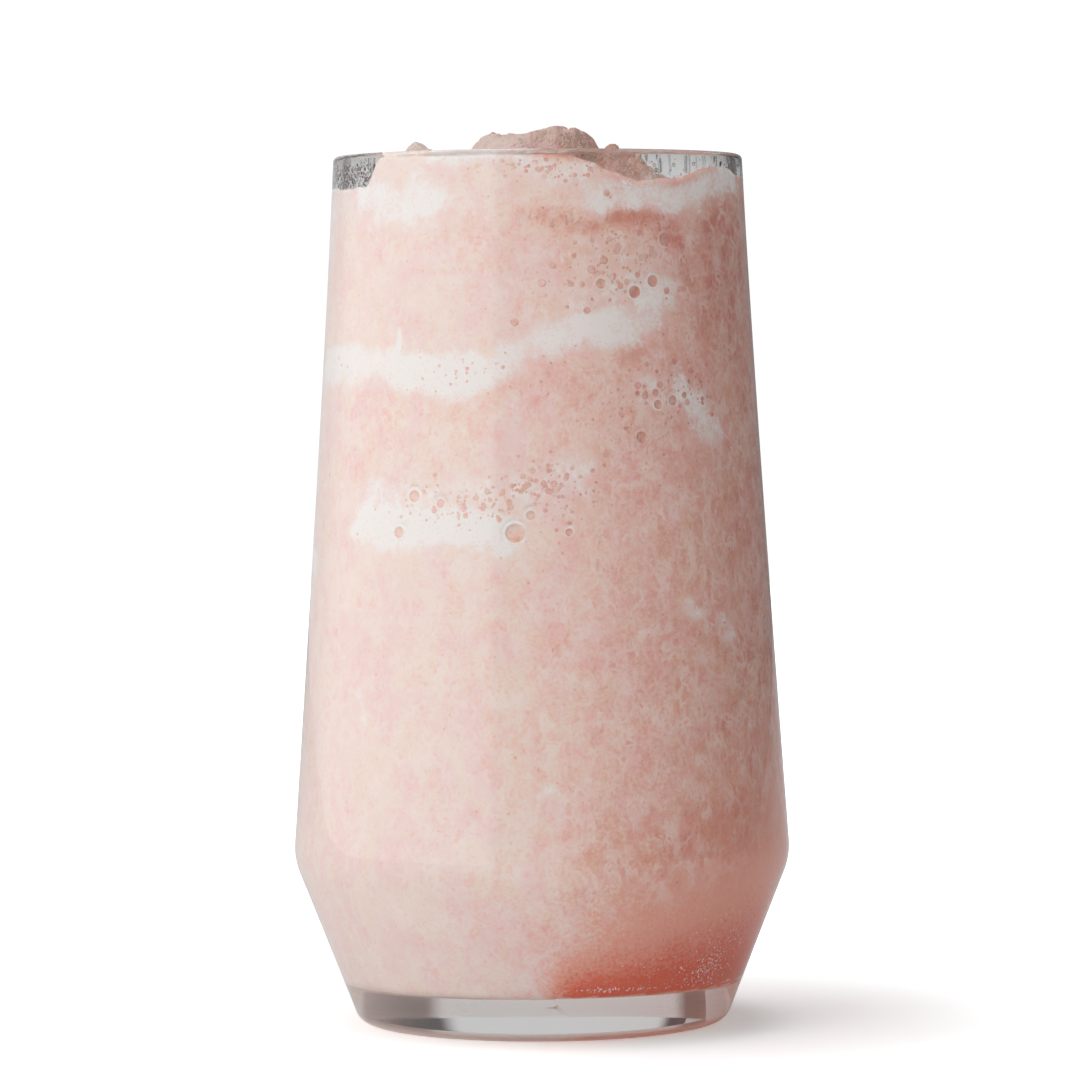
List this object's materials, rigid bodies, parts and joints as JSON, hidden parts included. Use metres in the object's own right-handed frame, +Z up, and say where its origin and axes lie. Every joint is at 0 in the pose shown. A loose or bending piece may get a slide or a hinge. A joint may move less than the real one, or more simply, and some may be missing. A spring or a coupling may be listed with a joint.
{
  "type": "strawberry smoothie in a glass",
  "caption": "Tall tapered clear glass brimful of pale pink blended strawberry smoothie, with a slushy mound on top and dark strawberry syrup on the floor.",
  "frame": {"origin": "middle of the glass's underside, on the surface it stands on", "axes": "+Z up along the glass's axis; -Y is the front, the side seen in the picture; +X is the side with the syrup"},
  "size_m": [0.0802, 0.0802, 0.1445],
  "materials": {
    "glass": "clear polished glass, lightly misted and beaded with water near the rim",
    "smoothie": "blended strawberry slush, pale pink with white foam swirls and air bubbles",
    "syrup": "thick strawberry syrup, dark orange-red"
  },
  "bodies": {
    "root": {"glass": "glass", "smoothie": "smoothie", "strawberry_syrup": "syrup"}
  },
  "joints": []
}
